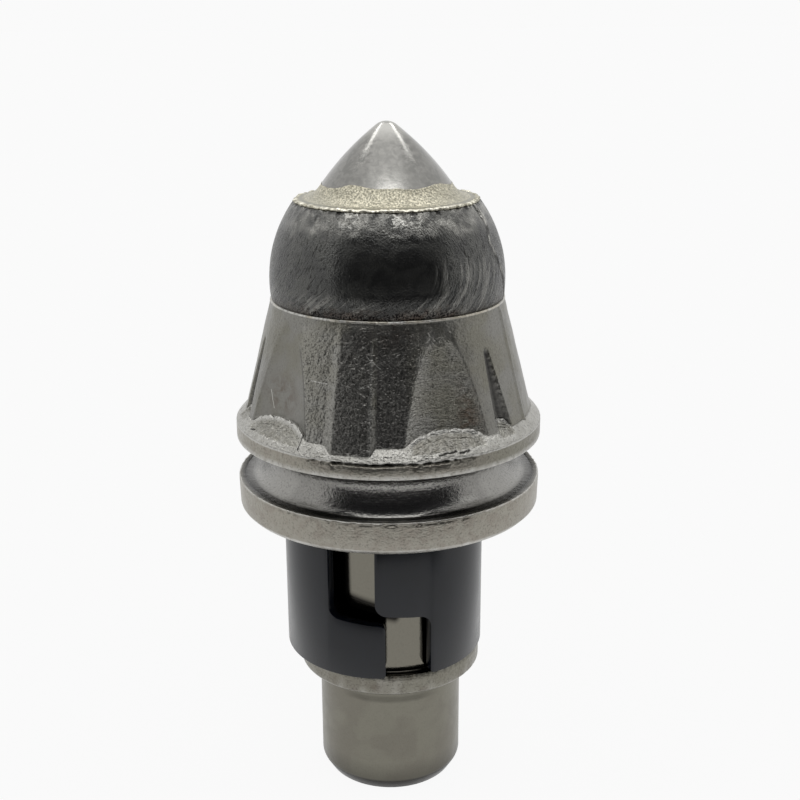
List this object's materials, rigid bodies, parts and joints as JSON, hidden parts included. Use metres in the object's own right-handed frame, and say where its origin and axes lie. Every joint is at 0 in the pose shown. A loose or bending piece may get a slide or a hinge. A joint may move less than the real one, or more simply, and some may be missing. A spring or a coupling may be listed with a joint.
{
  "type": "conical cutting pick",
  "caption": "Conical cutting pick with a carbide tip, fluted forged cone, puller groove and a stepped shank that carries a split spring sleeve.",
  "frame": {"origin": "middle of the flat shank end, on the surface that the pick stands on", "axes": "+Z along the pick's axis from the shank end to the carbide tip, -Y towards the slit of the sleeve"},
  "size_m": [0.0612, 0.0612, 0.1369],
  "materials": {
    "forged_steel": "shot blasted forged steel, turned in the groove",
    "carbide": "satin grey sintered carbide",
    "braze_metal": "grainy pale brass",
    "weld_deposit": "dark rippled weld metal",
    "spring_steel": "satin blued black"
  },
  "bodies": {
    "pick": {"forged_body": "forged_steel", "carbide_tip": "carbide", "braze_joint": "braze_metal", "hardfacing_band": "weld_deposit"},
    "sleeve": {"retainer_sleeve": "spring_steel"}
  },
  "joints": [
    {"name": "sleeve_spin", "type": "hinge", "parent": "pick", "child": "sleeve", "pos_m": [-0.00115, 0, 0.0443], "axis": [0, 0, 1], "continuous": true}
  ]
}
